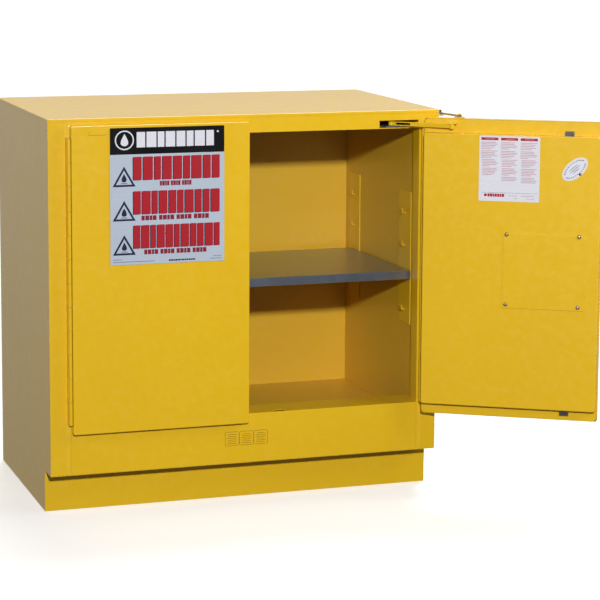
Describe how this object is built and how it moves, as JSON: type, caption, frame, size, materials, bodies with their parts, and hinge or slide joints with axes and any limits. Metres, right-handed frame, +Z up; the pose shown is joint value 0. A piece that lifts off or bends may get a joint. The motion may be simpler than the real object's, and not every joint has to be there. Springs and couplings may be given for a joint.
{
  "type": "flammable storage cabinet",
  "caption": "Yellow double-walled under-counter safety cabinet for flammable liquids, with two self-closing doors, one galvanised shelf and a spill sump.",
  "frame": {"origin": "centre of the whole cabinet's footprint on the floor, with the right door held open", "axes": "+X to the right along the front, +Y from the doors to the back, +Z up"},
  "size_m": [1.253, 0.821, 0.889],
  "materials": {
    "yellow_enamel": "semi-gloss baked enamel",
    "galvanised_sheet": "galvanised, satin",
    "bright_steel": "zinc plated",
    "black_moulding": "black powder coat",
    "brass_fittings": "dull",
    "label_film": "printed vinyl film"
  },
  "bodies": {
    "cabinet": {"outer_side_left": "yellow_enamel", "outer_side_right": "yellow_enamel", "outer_top": "yellow_enamel", "outer_back": "yellow_enamel", "outer_bottom": "yellow_enamel", "inner_side_left": "yellow_enamel", "inner_side_right": "yellow_enamel", "inner_back": "yellow_enamel", "inner_top": "yellow_enamel", "sump_floor": "yellow_enamel", "toe_kick": "yellow_enamel", "frame_header": "yellow_enamel", "frame_sill": "yellow_enamel", "frame_stile_left": "yellow_enamel", "frame_stile_right": "yellow_enamel", "shelf_strip_left_front": "yellow_enamel", "shelf_strip_left_rear": "yellow_enamel", "shelf_strip_right_front": "yellow_enamel", "shelf_strip_right_rear": "yellow_enamel", "vent_cap_upper": "yellow_enamel", "vent_cap_lower": "yellow_enamel", "right_link_post": "yellow_enamel", "left_hinge_frame_leaf": "yellow_enamel", "right_hinge_frame_leaf": "yellow_enamel", "shelf": "galvanised_sheet", "foot_left_front": "bright_steel", "foot_left_rear": "bright_steel", "foot_right_front": "bright_steel", "foot_right_rear": "bright_steel", "flame_screen_upper": "brass_fittings", "flame_screen_lower": "brass_fittings", "ground_stud": "brass_fittings", "left_hinge_pin": "bright_steel", "right_hinge_pin": "bright_steel", "left_closer_track": "galvanised_sheet", "right_closer_track": "galvanised_sheet"},
    "left_door": {"left_door_outer": "yellow_enamel", "left_door_inner": "yellow_enamel", "left_hinge_door_leaf": "yellow_enamel", "left_closer_bracket": "yellow_enamel"},
    "right_door": {"right_door_outer": "yellow_enamel", "right_door_inner": "yellow_enamel", "right_hinge_door_leaf": "yellow_enamel", "right_closer_bracket": "yellow_enamel", "right_link_bracket": "yellow_enamel", "handle_base": "black_moulding", "access_cover": "yellow_enamel"},
    "left_closer_arm": {"left_closer_arm": "yellow_enamel"},
    "right_closer_arm": {"right_closer_arm": "yellow_enamel"},
    "left_closer_slider": {"left_closer_slider": "bright_steel"},
    "right_closer_slider": {"right_closer_slider": "bright_steel"},
    "right_fusible_link": {"right_fusible_link": "bright_steel"},
    "handle_lever": {"handle_lever": "black_moulding"},
    "lock_cylinder": {"lock_cylinder": "bright_steel"},
    "latch_bolt_top": {"latch_bolt_top": "bright_steel"},
    "latch_bolt_bottom": {"latch_bolt_bottom": "bright_steel"}
  },
  "joints": [
    {"name": "left_door", "type": "hinge", "parent": "cabinet", "child": "left_door", "pos_m": [-0.58199, -0.16906, 0.53], "axis": [0, 0, -1], "range_deg": [0, 148.7], "stiffness_Nm_per_rad": 1.5},
    {"name": "right_door", "type": "hinge", "parent": "cabinet", "child": "right_door", "pos_m": [0.24301, -0.16906, 0.53], "axis": [0, 0, 1], "range_deg": [-148.7, 0]},
    {"name": "left_closer_arm", "type": "hinge", "parent": "left_door", "child": "left_closer_arm", "pos_m": [-0.51199, -0.13576, 0.8605], "axis": [0, 0, -1], "range_deg": [-100, 0]},
    {"name": "right_closer_arm", "type": "hinge", "parent": "right_door", "child": "right_closer_arm", "pos_m": [0.28552, -0.23389, 0.8605], "axis": [0, 0, 1], "range_deg": [0, 100]},
    {"name": "left_closer_slider", "type": "slide", "parent": "cabinet", "child": "left_closer_slider", "axis": [0, 1, 0], "range_m": [-0.149, 0]},
    {"name": "right_closer_slider", "type": "slide", "parent": "cabinet", "child": "right_closer_slider", "axis": [0, 1, 0], "range_m": [0, 0.149]},
    {"name": "right_fusible_link", "type": "hinge", "parent": "right_door", "child": "right_fusible_link", "pos_m": [0.3117, -0.21586, 0.878], "axis": [0, 0, 1], "range_deg": [0, 44]},
    {"name": "handle_lever", "type": "hinge", "parent": "right_door", "child": "handle_lever", "pos_m": [0.55707, -0.3551, 0.522], "axis": [0.5195, 0.8545, 0], "range_deg": [0, 60], "stiffness_Nm_per_rad": 0.8},
    {"name": "lock_cylinder", "type": "hinge", "parent": "right_door", "child": "lock_cylinder", "pos_m": [0.55707, -0.3551, 0.481], "axis": [0.5195, 0.8545, 0], "range_deg": [0, 90]},
    {"name": "latch_bolt_top", "type": "slide", "parent": "right_door", "child": "latch_bolt_top", "axis": [0, 0, 1], "range_m": [-0.0125, 0]},
    {"name": "latch_bolt_bottom", "type": "slide", "parent": "right_door", "child": "latch_bolt_bottom", "axis": [0, 0, 1], "range_m": [0, 0.0125]}
  ],
  "couplings": [
    {"joint": "left_closer_arm", "follows": "left_door", "ratio": -0.66586},
    {"joint": "left_closer_slider", "follows": "left_door", "m_per_rad": -0.056986},
    {"joint": "right_closer_arm", "follows": "right_door", "ratio": -0.66586},
    {"joint": "right_closer_slider", "follows": "right_door", "m_per_rad": -0.056986},
    {"joint": "right_fusible_link", "follows": "right_door", "ratio": -0.2913},
    {"joint": "latch_bolt_top", "follows": "handle_lever", "m_per_rad": -0.01146},
    {"joint": "latch_bolt_bottom", "follows": "handle_lever", "m_per_rad": 0.01146}
  ]
}
